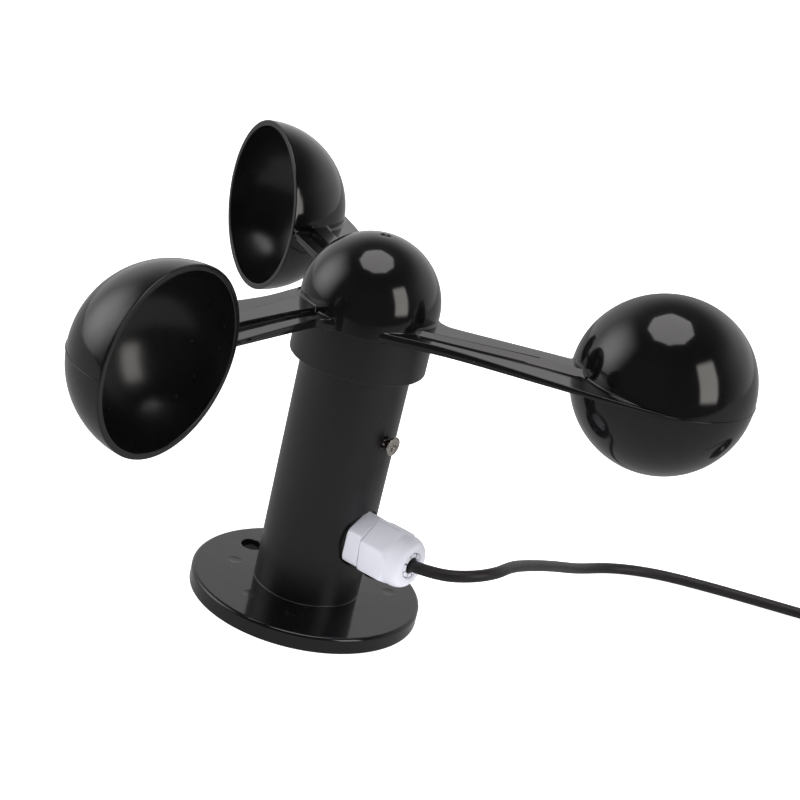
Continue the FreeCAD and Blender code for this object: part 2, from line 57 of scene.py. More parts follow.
# --- camera
# Places in metres, angles in degrees, lens and sensor in millimetres
CAM_TARGET = Vector((0.0145, 0.0, 0.06772))
CAM_DISTANCE = 0.63602
CAM_AZIMUTH = radians(0.5806)
CAM_ELEVATION = radians(21.2637)
CAM_ROLL = radians(13.4502)
CAM_LENS = 100.25
CAM_SENSOR = 36.0
CAM_NEAREST, CAM_FARTHEST = 0.01, 50.0


def make_camera():
    camera_data = bpy.data.cameras.new("camera")
    camera_data.sensor_width = CAM_SENSOR
    camera_data.lens = CAM_LENS
    camera_data.clip_start = CAM_NEAREST
    camera_data.clip_end = CAM_FARTHEST
    camera = linked("camera", camera_data)
    swing = Matrix.Rotation(CAM_AZIMUTH, 3, "Z")
    level_right = swing @ Vector((1, 0, 0))
    level_up = swing @ Vector((0, sin(CAM_ELEVATION), cos(CAM_ELEVATION)))
    back = swing @ Vector((0, -cos(CAM_ELEVATION), sin(CAM_ELEVATION)))
    right = level_right * cos(CAM_ROLL) + level_up * sin(CAM_ROLL)
    up = level_up * cos(CAM_ROLL) - level_right * sin(CAM_ROLL)
    turn = Matrix((right, up, back)).transposed().to_4x4()
    camera.matrix_world = Matrix.Translation(CAM_TARGET + back * CAM_DISTANCE) @ turn
    bpy.context.scene.camera = camera


make_camera()


# --- signal cable
CABLE_R = 1.75
# Route out of the gland, down to the surface and along it to the coil
CABLE_ROUTE = [
    (0.0290, -0.0181, 0.0264),
    (0.0366, -0.0226, 0.0276),
    (0.0454, -0.0222, 0.0291),
    (0.0527, -0.0166, 0.0295),
    (0.0570, -0.0055, 0.0276),
    (0.0620, 0.0075, 0.0232),
    (0.0680, 0.0230, 0.0174),
    (0.0745, 0.0400, 0.0106),
    (0.0815, 0.0560, 0.0041),
    (0.0930, 0.0685, 0.00175),
    (0.1080, 0.0723, 0.00175),
    (0.1250, 0.0718, 0.00175),
    (0.1430, 0.0700, 0.00175),
    (0.1600, 0.0679, 0.00185),
    (0.1710, 0.0672, 0.00225),
    (0.1800, 0.0672, 0.00235),
]
# Free end, from the coil's outermost top turn down to the surface
TAIL_ROUTE = [
    (0.20905, 0.03815, 0.013025),
    (0.2094, 0.0290, 0.0114),
    (0.2085, 0.0205, 0.0079),
    (0.2060, 0.0120, 0.0042),
    (0.2005, 0.0045, 0.0020),
    (0.1930, -0.0010, 0.00175),
]
COIL_MEAN_R = 18.5
COIL_PITCH = 3.55
COIL_TURNS = 3
COIL_LAYERS = 4
POINTS_PER_TURN = 18


def smooth_step(t):
    t = min(max(t, 0.0), 1.0)
    return t * t * (3 - 2 * t)


def coil_points():
    """Turns side by side, out and in by layers; each step across or up is one short stretch of a turn."""
    box_low, box_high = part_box("cable_coil")
    centre_x = (box_low[0] + box_high[0]) / 2
    centre_y = (box_low[1] + box_high[1]) / 2
    bottom_z = box_low[2] + CABLE_R * MM
    # Control points stand out by this much so that the curve itself has the turn's radius
    stand_out = 1 / (0.75 + 0.25 * cos(2 * pi / POINTS_PER_TURN))
    shift_from, shift_by = 250.0, 60.0
    rise_from, rise_by = 920.0, 50.0
    layer_travel = 970.0
    last_travel = 780.0
    step = 360.0 / POINTS_PER_TURN
    points = []
    travel = 0.0
    end = layer_travel * (COIL_LAYERS - 1) + last_travel
    while travel < end + 0.01:
        layer = min(int(travel // layer_travel), COIL_LAYERS - 1)
        local = travel - layer * layer_travel
        first_shift = smooth_step((local - shift_from) / shift_by)
        second_shift = smooth_step((local - shift_from - 360) / shift_by)
        moved = first_shift + second_shift
        across = 1 - moved if layer % 2 == 0 else moved - 1
        risen = smooth_step((local - rise_from) / rise_by) if layer < COIL_LAYERS - 1 else 0.0
        r = (COIL_MEAN_R + across * COIL_PITCH) * MM * stand_out
        angle = radians(90 - travel)
        z = bottom_z + (layer + risen) * COIL_PITCH * MM
        points.append((centre_x + r * cos(angle), centre_y + r * sin(angle), z))
        travel += step
    return points


def make_cable():
    curve = bpy.data.curves.new("signal_cable", "CURVE")
    curve.dimensions = "3D"
    # The points' radius carries the cable's own, because a curve's box is padded by it
    curve.bevel_depth = 1.0
    curve.bevel_resolution = 6
    curve.resolution_u = 6
    curve.use_fill_caps = True
    spline = curve.splines.new("NURBS")
    points = CABLE_ROUTE + coil_points() + TAIL_ROUTE
    spline.points.add(len(points) - 1)
    for target, p in zip(spline.points, points):
        target.co = (*p, 1.0)
        target.radius = CABLE_R * MM
    spline.order_u = 3
    spline.use_endpoint_u = True
    piece = linked("signal_cable", curve)
    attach(piece, "stand")
    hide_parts("sensor_cable", "cable_coil", "cable_tail")
    return piece


cable = make_cable()


# --- mesh helpers
def new_piece(name, vertices, faces, body, slot, replaced=(), material=None, weighted=True):
    """Make a smooth-shaded mesh piece from millimetre vertices; its material is its slot's unless given."""
    mesh = bpy.data.meshes.new(name)
    mesh.from_pydata([(x * MM, y * MM, z * MM) for x, y, z in vertices], [], faces)
    mesh.validate()
    cleaned = bmesh.new()
    cleaned.from_mesh(mesh)
    bmesh.ops.recalc_face_normals(cleaned, faces=cleaned.faces)
    cleaned.to_mesh(mesh)
    cleaned.free()
    mesh.shade_smooth()
    piece = linked(name, mesh)
    if slot is not None:
        mesh.materials.append(material or M[slot])
    if weighted:
        modifier = piece.modifiers.new("even_flats", "WEIGHTED_NORMAL")
        modifier.weight = 80
    if body is not None:
        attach(piece, body)
    if replaced:
        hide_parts(*replaced)
    return piece


def rounded(corners, radii, steps=5, closed=False):
    """Outline with each corner replaced by a small arc; a radius of 0 keeps the corner."""
    count = len(corners)
    out = []
    for i, (corner, radius) in enumerate(zip(corners, radii)):
        p = Vector(corner)
        if not closed and i in (0, count - 1) or radius == 0:
            out.append(tuple(p))
            continue
        before = (Vector(corners[i - 1]) - p).normalized()
        after = (Vector(corners[(i + 1) % count]) - p).normalized()
        half = before.angle(after) / 2
        back = radius / math.tan(half)
        to_centre = (before + after).normalized()
        centre = p + to_centre * (radius / sin(half))
        start = p + before * back - centre
        end = p + after * back - centre
        sweep = start.angle_signed(end)
        for k in range(steps + 1):
            spoke = start.copy()
            spoke.rotate(Matrix.Rotation(-sweep * k / steps, 2))
            out.append(tuple(centre + spoke))
    return out


def ring_faces(rings, count, closed=False):
    """Quads between successive rings of vertices, each ring having the same count."""
    faces = []
    last = rings if closed else rings - 1
    for i in range(last):
        low = i * count
        high = ((i + 1) % rings) * count
        for k in range(count):
            nxt = (k + 1) % count
            faces.append((low + k, low + nxt, high + nxt, high + k))
    return faces


def tube_faces(rings, count):
    """Quads between successive rings, with a cap at each end."""
    faces = ring_faces(rings, count)
    faces.append(tuple(range(count)))
    faces.append(tuple(reversed(range((rings - 1) * count, rings * count))))
    return faces


def circle(r, z, segments):
    return [(r * cos(2 * pi * k / segments), r * sin(2 * pi * k / segments), z) for k in range(segments)]


WALL_SEGMENTS = 192


def lathe(outline, segments, closed=False):
    """An outline of (radius, height) turned about Z; ends on the axis close with a fan."""
    vertices = []
    for r, z in outline:
        vertices += circle(max(r, 0.0), z, segments)
    faces = ring_faces(len(outline), segments, closed)
    if not closed:
        for index, flip in ((0, True), (len(outline) - 1, False)):
            ring = [index * segments + k for k in range(segments)]
            if outline[index][0] < 1e-6:
                vertices.append((0.0, 0.0, outline[index][1]))
                hub_vertex = len(vertices) - 1
                inner = 1 if index == 0 else index - 1
                faces = [f for f in faces if not all(v in ring or v // segments == inner for v in f)]
                near = [inner * segments + k for k in range(segments)]
                for k in range(segments):
                    a, b = near[k], near[(k + 1) % segments]
                    faces.append((hub_vertex, b, a) if flip else (hub_vertex, a, b))
            else:
                faces.append(tuple(ring if flip else reversed(ring)))
    used = sorted({v for f in faces for v in f})
    index_of = {v: i for i, v in enumerate(used)}
    return [vertices[v] for v in used], [tuple(index_of[v] for v in f) for f in faces]


def spread(a, b, count):
    return [a + (b - a) * i / (count - 1) for i in range(count)]


def placed(vertices, matrix):
    return [tuple(matrix @ Vector(v)) for v in vertices]


def joined(*parts):
    """Several vertex and face lists as one."""
    vertices, faces = [], []
    for part_vertices, part_faces in parts:
        start = len(vertices)
        vertices += part_vertices
        faces += [tuple(v + start for v in f) for f in part_faces]
    return vertices, faces


def cut(piece, cutters):
    """Cut shapes given as vertex and face lists out of a piece."""
    for vertices, faces in cutters:
        cutter = new_piece("cutter", vertices, faces, None, None, weighted=False)
        modifier = piece.modifiers.new("cut", "BOOLEAN")
        modifier.operation = "DIFFERENCE"
        modifier.solver = "EXACT"
        modifier.object = cutter
        bpy.context.view_layer.update()
        graph = bpy.context.evaluated_depsgraph_get()
        kept = [m for m in piece.modifiers if m.type == "WEIGHTED_NORMAL"]
        for m in kept:
            m.show_viewport = False
        graph.update()
        result = bpy.data.meshes.new_from_object(piece.evaluated_get(graph))
        piece.modifiers.remove(modifier)
        for m in kept:
            m.show_viewport = True
        old = piece.data
        piece.data = result
        result.name = piece.name
        bpy.data.meshes.remove(old)
        mesh = cutter.data
        bpy.data.objects.remove(cutter)
        bpy.data.meshes.remove(mesh)


# --- materials
def set_range(node, low, high, to_low, to_high):
    for socket, value in (("From Min", low), ("From Max", high), ("To Min", to_low), ("To Max", to_high)):
        node.inputs[socket].default_value = value


class Nodes:
    """Short way to add and link nodes in one material."""

    def __init__(self, name):
        self.material = bpy.data.materials.new(name)
        self.material.use_nodes = True
        self.tree = self.material.node_tree
        self.bsdf = self.tree.nodes["Principled BSDF"]
        self.where = self.add("ShaderNodeTexCoord").outputs["Object"]

    def add(self, kind, **values):
        node = self.tree.nodes.new(kind)
        for key, value in values.items():
            setattr(node, key, value)
        return node

    def link(self, source, target):
        self.tree.links.new(source, target)

    def noise(self, scale, detail=3.0, roughness=0.55, stretch=None):
        node = self.add("ShaderNodeTexNoise")
        node.inputs["Scale"].default_value = scale
        node.inputs["Detail"].default_value = detail
        node.inputs["Roughness"].default_value = roughness
        if stretch is None:
            self.link(self.where, node.inputs["Vector"])
        else:
            mapping = self.add("ShaderNodeMapping")
            mapping.inputs["Scale"].default_value = stretch
            self.link(self.where, mapping.inputs["Vector"])
            self.link(mapping.outputs["Vector"], node.inputs["Vector"])
        return node.outputs["Fac"]

    def spots(self, scale, size):
        """Mask with small round spots scattered sparsely."""
        node = self.add("ShaderNodeTexVoronoi")
        node.inputs["Scale"].default_value = scale
        node.inputs["Randomness"].default_value = 1.0
        self.link(self.where, node.inputs["Vector"])
        return self.mapped(node.outputs["Distance"], size, size * 0.6, 0.0, 1.0)

    def mapped(self, value, low, high, to_low, to_high):
        node = self.add("ShaderNodeMapRange")
        self.link(value, node.inputs["Value"])
        set_range(node, low, high, to_low, to_high)
        return node.outputs["Result"]

    def math(self, operation, a, b):
        node = self.add("ShaderNodeMath", operation=operation)
        for socket, value in zip(node.inputs, (a, b)):
            if isinstance(value, (int, float)):
                socket.default_value = value
            else:
                self.link(value, socket)
        return node.outputs[0]

    def mixed(self, factor, a, b):
        """Colour between two colours by a factor socket."""
        node = self.add("ShaderNodeMix", data_type="RGBA")
        self.link(factor, node.inputs[0])
        node.inputs[6].default_value = (*a, 1.0)
        node.inputs[7].default_value = (*b, 1.0)
        return node.outputs[2]

    def bump(self, height):
        """Surface raised by a height in metres."""
        node = self.add("ShaderNodeBump")
        node.inputs["Distance"].default_value = 1.0
        node.inputs["Strength"].default_value = 1.0
        self.link(height, node.inputs["Height"])
        return node.outputs["Normal"]

    def set(self, **values):
        for key, value in values.items():
            self.bsdf.inputs[key.replace("_", " ")].default_value = value


DUST_COLOUR = (0.35, 0.34, 0.33, 1.0)
# Noise scales, in cells per metre
SLOW_SCALE, FINE_SCALE, WAVE_SCALE, SPECK_SCALE = 45.0, 900.0, 120.0, 420.0


def plastic(name, colour, dark, rough, rough_swing, ior, wave_height, grain_height, grain_scale, dust=0.0):
    """Moulded plastic: slow unevenness in colour and gloss, slight waviness, fine grain and a little dust."""
    n = Nodes(name)
    slow = n.noise(SLOW_SCALE, 4.0)
    shade = n.mapped(slow, 0.3, 0.7, 0.0, 1.0)
    base = n.mixed(shade, dark, colour)
    fine = n.noise(FINE_SCALE, 2.0)
    patchy = n.math("ADD", n.math("MULTIPLY", slow, 0.6), n.math("MULTIPLY", fine, 0.4))
    gloss = n.mapped(patchy, 0.3, 0.7, rough - rough_swing, rough + rough_swing)
    if dust > 0:
        specks = n.spots(SPECK_SCALE, 0.05)
        thin = n.mapped(n.noise(WAVE_SCALE, 2.0), 0.55, 0.62, 0.0, dust)
        amount = n.math("MULTIPLY", specks, thin)
        tint = n.add("ShaderNodeMix", data_type="RGBA")
        n.link(amount, tint.inputs[0])
        n.link(base, tint.inputs[6])
        tint.inputs[7].default_value = DUST_COLOUR
        base = tint.outputs[2]
        gloss = n.math("ADD", gloss, n.math("MULTIPLY", amount, 0.5))
    n.link(base, n.bsdf.inputs["Base Color"])
    n.link(gloss, n.bsdf.inputs["Roughness"])
    wave = n.math("MULTIPLY", n.noise(WAVE_SCALE, 1.5), wave_height)
    grain = n.math("MULTIPLY", n.noise(grain_scale, 3.0, 0.6), grain_height)
    n.link(n.bump(n.math("ADD", wave, grain)), n.bsdf.inputs["Normal"])
    n.set(IOR=ior)
    return n.material


def metal(name, colour, rough, stretch=(1, 1, 1)):
    """Machined or plated metal: fine streaks in the roughness and the surface."""
    streak_scale, streak_height = 900.0, 2e-6
    n = Nodes(name)
    lines = n.noise(streak_scale, 3.0, 0.6, stretch=stretch)
    cloud = n.noise(80.0, 3.0)
    n.link(n.mapped(lines, 0.3, 0.7, rough * 0.7, rough * 1.5), n.bsdf.inputs["Roughness"])
    darker = tuple(c * 0.82 for c in colour)
    n.link(n.mixed(n.mapped(cloud, 0.35, 0.65, 0.0, 1.0), darker, colour), n.bsdf.inputs["Base Color"])
    n.link(n.bump(n.math("MULTIPLY", lines, streak_height)), n.bsdf.inputs["Normal"])
    n.set(Metallic=1.0)
    return n.material


# Colour, darker colour, roughness and its swing, IOR, wave height, grain height, grain scale, dust
PLASTICS = {
    "gloss_black": (
        (0.0064, 0.0059, 0.0066), (0.0045, 0.0041, 0.0046), 0.10, 0.02, 1.46, 5e-5, 1.0e-7, 2600.0, 0.7,
    ),
    "bowl_black": (
        (0.0062, 0.0058, 0.0064), (0.0044, 0.0041, 0.0045), 0.25, 0.03, 1.46, 9e-6, 8e-7, 2600.0, 0.5,
    ),
    "satin_black": (
        (0.0092, 0.0082, 0.0094), (0.0070, 0.0062, 0.0071), 0.34, 0.05, 1.46, 6e-6, 2.0e-6, 2200.0, 0.5,
    ),
    "gland_white": ((0.75, 0.755, 0.83), (0.70, 0.705, 0.78), 0.36, 0.05, 1.5, 8e-6, 6e-7, 1800.0),
    "black_rubber": ((0.012, 0.012, 0.012), (0.007, 0.007, 0.007), 0.6, 0.08, 1.45, 8e-6, 3e-6, 1500.0),
    "cable_jacket": (
        (0.012, 0.0098, 0.0104), (0.0085, 0.0070, 0.0074), 0.50, 0.06, 1.46, 1e-5, 1.5e-6, 1500.0, 0.4,
    ),
    "cage_nylon": ((0.62, 0.58, 0.46), (0.55, 0.51, 0.40), 0.45, 0.05, 1.5, 5e-6, 1e-6, 1500.0),
    "holder_grey": ((0.06, 0.06, 0.065), (0.045, 0.045, 0.05), 0.45, 0.05, 1.48, 5e-6, 1e-6, 1500.0),
    "board_green": ((0.012, 0.13, 0.045), (0.008, 0.10, 0.035), 0.25, 0.05, 1.5, 5e-6, 1e-6, 1500.0),
    "chip_black": ((0.02, 0.02, 0.021), (0.014, 0.014, 0.015), 0.5, 0.06, 1.5, 3e-6, 2e-6, 2500.0),
    "component_tan": ((0.36, 0.27, 0.17), (0.28, 0.21, 0.13), 0.5, 0.05, 1.5, 2e-6, 1e-6, 2500.0),
    "header_white": ((0.72, 0.70, 0.62), (0.66, 0.64, 0.56), 0.42, 0.05, 1.5, 5e-6, 1e-6, 1500.0),
    "tie_black": ((0.015, 0.015, 0.016), (0.01, 0.01, 0.011), 0.42, 0.06, 1.48, 5e-6, 2e-6, 1500.0),
    "lead_red": ((0.42, 0.02, 0.015), (0.34, 0.015, 0.012), 0.35, 0.05, 1.48, 3e-6, 1e-6, 1500.0),
    "lead_black": ((0.012, 0.012, 0.013), (0.008, 0.008, 0.009), 0.35, 0.05, 1.48, 3e-6, 1e-6, 1500.0),
    "lead_yellow": ((0.62, 0.46, 0.03), (0.54, 0.40, 0.02), 0.35, 0.05, 1.48, 3e-6, 1e-6, 1500.0),
}
# Colour, roughness, and the stretch of the streaks where they have a direction
METALS = {
    "screw_steel": ((0.62, 0.58, 0.53), 0.22),
    "bearing_steel": ((0.66, 0.66, 0.68), 0.12),
    "shield_steel": ((0.55, 0.55, 0.57), 0.3),
    "shaft_steel": ((0.58, 0.58, 0.6), 0.22, (1, 1, 12)),
    "spacer_alu": ((0.74, 0.74, 0.76), 0.28, (1, 1, 10)),
    "magnet_nickel": ((0.64, 0.61, 0.56), 0.16),
    "component_can": ((0.6, 0.6, 0.62), 0.25),
    "lead_tin": ((0.66, 0.64, 0.60), 0.3, (10, 10, 1)),
}
M = {name: plastic(name, *values) for name, values in PLASTICS.items()}
M.update({name: metal(name, *values) for name, values in METALS.items()})
cable.data.materials.append(M["cable_jacket"])


# --- sizes read from the CAD nodes
def node_box(node):
    """A node's box in millimetres."""
    low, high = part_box(node)
    return [v / MM for v in low], [v / MM for v in high]


cup_low, cup_high = node_box("cup_1")
CUP_R = (cup_high[0] - cup_low[0]) / 2
CUP_X = (cup_high[0] + cup_low[0]) / 2
ARM_Z = (cup_high[2] + cup_low[2]) / 2
hub_low, hub_high = node_box("rotor_hub")
HUB_R = (hub_high[0] - hub_low[0]) / 2
SKIRT_Z = hub_low[2]
BASE_R = node_box("base_flange")[1][0]
tube_low, tube_high = node_box("stand_tube")
BASE_T = tube_low[2]
TUBE_TOP_Z = tube_high[2]
TUBE_TOP_R = (tube_high[0] - tube_low[0]) / 2


# --- rotor
CUP_WALL = 1.8
HUB_WALL = 2.1
SHAFT_BORE_R = 2.0
SHAFT_BORE_TOP_Z = 106.9
BOSS_Z = 85.0
BOSS_R = 4.5
DIMPLE_R = 1.5
PLATE_T = 2.4
RIB_TOP_Z = 94.17
RIB_WALL_RUN = 0.45
ARM_EDGE_R = 0.3
FILLET = 0.7
# The arm's outlines from the hub out to the cup, as (x, y); half thickness as (x, z)
ARM_HALF_T = ((16.0, 1.40), (22.0, 1.35), (57.0, 0.90), (80.0, 0.50), (87.0, 0.27))
ARM_FRONT = (
    (0.0, -19.3), (6.0, -19.3), (12.0, -19.0), (22.0, -18.75), (30.0, -19.5), (40.0, -21.1), (50.0, -22.8),
    (65.5, -25.3), (78.7, -26.6), (87.0, -26.85),
)
ARM_BACK = (
    (14.0, 6.5), (18.5, 3.4), (20.1, 1.9), (21.5, 0.5), (23.2, -0.5),
    (26.0, -0.75), (30.0, -0.8), (87.0, -0.8),
)
RIB_BACK = ((14.0, -4.0), (20.0, -4.2), (28.0, -5.2), (40.0, -5.9), (50.0, -6.3), (87.0, -6.3))
RIB_TOP_FRONT = ((8.0, -13.0), (20.0, -12.7), (50.0, -11.4), (62.0, -12.1), (87.0, -12.6))
RIB_FOOT = ((8.0, -14.1), (20.0, -14.05), (42.0, -13.7), (64.0, -14.4), (87.0, -14.8))


def turned_about_shaft(vertices, k):
    return placed(vertices, Matrix.Rotation(radians(120 * k), 4, "Z"))


def cup_mesh():
    """Half-ball shell, mouth towards +Y, with a softly rounded rim."""
    centre = Vector((CUP_X, 0, ARM_Z))
    inner_r = CUP_R - CUP_WALL
    outline = []
    steps = 64
    for i in range(steps + 1):
        angle = pi / 2 * i / steps
        outline.append((CUP_R * sin(angle), -CUP_R * cos(angle)))
    rim = rounded([(CUP_R, -0.8), (CUP_R, 0), (inner_r, 0), (inner_r, -0.8)], [0, 0.3, 0.3, 0], 4)
    outline = [p for p in outline if p[1] < -0.8] + rim
    for i in range(steps, -1, -1):
        angle = pi / 2 * i / steps
        if inner_r * cos(angle) > 0.8:
            outline.append((inner_r * sin(angle), -inner_r * cos(angle)))
    vertices, faces = lathe(outline, 160)
    # The turned shape's axis is Z; lay it along Y
    lay = Matrix(((1, 0, 0, centre.x), (0, 0, 1, centre.y), (0, -1, 0, centre.z), (0, 0, 0, 1)))
    return placed(vertices, lay), faces


def seam_mesh():
    """Mould line round a cup's back: a fin at the arm's tip that thins to a fine raised line."""
    steps = 120
    first = radians(82.0)
    vertices = []
    section = 9
    for i in range(steps + 1):
        angle = first + (pi - first) * i / steps
        fade = smooth_step((math.degrees(angle) - 90.0) / 60.0)
        height = 0.36 * (1 - fade) + 0.20 * fade
        half = 0.30 * (1 - fade) + 0.18 * fade
        end_fade = smooth_step((180.0 - math.degrees(angle)) / 4.0)
        height *= 0.3 + 0.7 * end_fade
        for k in range(section):
            across = -1 + 2 * k / (section - 1)
            bulge = (1 - across**4) * height - 0.25 * abs(across) ** 4
            r = CUP_R + bulge
            z = ARM_Z + across * half
            flat = math.sqrt(max(r * r - (z - ARM_Z) ** 2, 0))
            vertices.append((CUP_X - flat * cos(angle), -flat * sin(angle), z))
    faces = []
    for i in range(steps):
        for k in range(section - 1):
            a = i * section + k
            faces.append((a, a + 1, a + 1 + section, a + section))
        faces.append((i * section, (i + 1) * section, (i + 2) * section - 1, (i + 1) * section - 1))
    faces.append(tuple(range(section)))
    faces.append(tuple(reversed(range(steps * section, (steps + 1) * section))))
    return vertices, faces


def slope_at(points, i):
    low = max(i - 1, 0)
    high = min(i + 1, len(points) - 1)
    return (points[high][1] - points[low][1]) / (points[high][0] - points[low][0])


def curve_at(points, x):
    """Smooth curve through (x, value) points, level beyond its ends."""
    x = min(max(x, points[0][0]), points[-1][0])
    i = 0
    while i < len(points) - 2 and x > points[i + 1][0]:
        i += 1
    (x0, y0), (x1, y1) = points[i], points[i + 1]
    run = x1 - x0
    t = (x - x0) / run
    start = y0 * (1 + 2 * t) * (1 - t) ** 2 + slope_at(points, i) * run * t * (1 - t) ** 2
    end = y1 * t * t * (3 - 2 * t) + slope_at(points, i + 1) * run * t * t * (t - 1)
    return start + end


def arm_section(x):
    """Closed outline across the arm as (y, z): top from back to front, front edge, underside, back edge."""
    half = curve_at(ARM_HALF_T, x)
    back, front = curve_at(ARM_BACK, x), curve_at(ARM_FRONT, x)
    rib_back = curve_at(RIB_BACK, x)
    rib_top = curve_at(RIB_TOP_FRONT, x)
    rib_foot = curve_at(RIB_FOOT, x)
    edge = min(ARM_EDGE_R, 0.6 * half)
    rounding = (0.0, 0.12, 0.35, 0.65, 1.0)
    across = [back - edge * t for t in rounding]
    across += spread(back - edge, rib_back + 0.1, 8)[1:]
    across += [rib_back - RIB_WALL_RUN * i / 7 for i in range(8)]
    across += spread(rib_back - RIB_WALL_RUN - 0.1, rib_top + 0.1, 10)
    across += spread(rib_top, rib_foot, 7)
    across += spread(rib_foot - 0.1, front + edge, 18)
    across += [front + edge * t for t in reversed(rounding[:-1])]
    top, low = [], []
    for y in across:
        inset = max(edge - min(back - y, y - front), 0.0)
        dropped = edge - math.sqrt(max(edge**2 - inset**2, 0.0))
        climb = smooth_step((rib_back - y) / RIB_WALL_RUN)
        slope = min(max((y - rib_foot) / (rib_top - rib_foot), 0.0), 1.0)
        rib = (RIB_TOP_Z - ARM_Z - half) * min(climb, slope)
        top.append((y, ARM_Z + half + rib - dropped))
        low.append((y, ARM_Z - half + dropped))
    line, line_half = 0.08, 0.12
    front_edge = [(front, ARM_Z + line_half), (front - line, ARM_Z), (front, ARM_Z - line_half)]
    back_edge = [(back, ARM_Z - line_half), (back + line, ARM_Z), (back, ARM_Z + line_half)]
    return top + front_edge + low[::-1] + back_edge, len(across)


def crossing(low, high, outside):
    """Place between low and high where a distance changes sign; high itself when it never does."""
    start = outside(low) > 0
    if (outside(high) > 0) == start:
        return high
    for _ in range(26):
        middle = (low + high) / 2
        if (outside(middle) > 0) == start:
            low = middle
        else:
            high = middle
    return low


def arm_mesh():
    """Arm lofted from the hub's wall to the cup's back, flaring into both with a small fillet."""
    centre = Vector((CUP_X, 0, ARM_Z))
    first_x, step = 3.0, 0.25
    grid = [arm_section(first_x + step * i)[0] for i in range(int((CUP_X - first_x) / step) + 3)]
    chain = arm_section(HUB_R)[1]
    count = len(grid[0])

    def at(i, x):
        t = (x - first_x) / step
        n = min(int(t), len(grid) - 2)
        (y0, z0), (y1, z1) = grid[n][i], grid[n + 1][i]
        return Vector((x, y0 + (y1 - y0) * (t - n), z0 + (z1 - z0) * (t - n)))

    def off_hub(p):
        return math.hypot(p.x, p.y) - HUB_R

    def off_cup(p):
        return (p - centre).length - CUP_R

    ends = []
    for i in range(count):
        start = crossing(first_x, 24.0, lambda x: off_hub(at(i, x)))
        end = crossing(50.0, CUP_X, lambda x: off_cup(at(i, x)))
        ends.append((start, end))
    near = [0.0, 0.0015, 0.004, 0.008, 0.013, 0.02, 0.03, 0.045, 0.065, 0.09]
    stations = near + spread(0.115, 0.885, 42) + [1 - v for v in reversed(near)]
    rows = []
    for s in stations:
        row = [at(i, start + s * (end - start)) for i, (start, end) in enumerate(ends)]
        flared = []
        for i, p in enumerate(row):
            tangent = row[(i + 1) % count] - row[i - 1]
            outward = Vector((0, -tangent.z, tangent.y))
            if outward.length < 1e-6:
                flared.append(p.copy())
                continue
            outward.normalize()
            if outward.dot(Vector((0, p.y - (row[0].y + row[chain].y) / 2, 8 * (p.z - ARM_Z)))) < 0:
                outward = -outward
            # The fillet fades out where the arm runs along a wall instead of into it
            to_hub, to_cup = off_hub(p), off_cup(p)
            facing = p.x / HUB_R if to_hub < to_cup else (centre.x - p.x) / CUP_R
            short = max(FILLET - max(min(to_hub, to_cup), 0.0), 0.0)
            flare = FILLET - math.sqrt(max(FILLET**2 - short**2, 0.0))
            flared.append(p + outward * min(flare, 0.6) * smooth_step((facing - 0.2) / 0.3))
        rows.append(flared)
    rows.insert(0, [p - Vector((p.x, p.y, 0)).normalized() * 0.5 for p in rows[0]])
    rows.append([p + (centre - p).normalized() * 0.45 for p in rows[-1]])
    vertices = [tuple(p) for row in rows for p in row]
    faces = ring_faces(len(rows), count)
    # Ends closed in strips from the top to the underside, so that they follow the walls
    for base in (0, (len(rows) - 1) * count):
        low_end = 2 * chain + 2
        for j in range(chain - 1):
            faces.append((base + j, base + j + 1, base + low_end - j - 1, base + low_end - j))
        faces.append(tuple(base + k for k in range(chain - 1, chain + 4)))
        faces.append(tuple(base + k for k in (low_end, low_end + 1, low_end + 2, low_end + 3, 0)))
    return vertices, faces


def make_cup_and_arm(k):
    """Cup with its mould line, and the arm that carries it."""
    name = f"cup_{k + 1}"
    vertices, faces = cup_mesh()
    vertices = turned_about_shaft(vertices, k)
    shell = new_piece(name + "_shell", vertices, faces, "rotor", "gloss_black", [name])
    # The bowl's inside has a rougher finish than its outside
    shell.data.materials.append(M["bowl_black"])
    middle = Matrix.Rotation(radians(120 * k), 4, "Z") @ Vector((CUP_X, 0, ARM_Z))
    for face in shell.data.polygons:
        if (face.center / MM - middle).length < CUP_R - CUP_WALL + 0.02:
            face.material_index = 1
    vertices, faces = seam_mesh()
    new_piece(name + "_seam", turned_about_shaft(vertices, k), faces, "rotor", "gloss_black")
    vertices, faces = arm_mesh()
    vertices = turned_about_shaft(vertices, k)
    new_piece(f"arm_{k + 1}", vertices, faces, "rotor", "gloss_black", [f"rotor_arm_{k + 1}"])


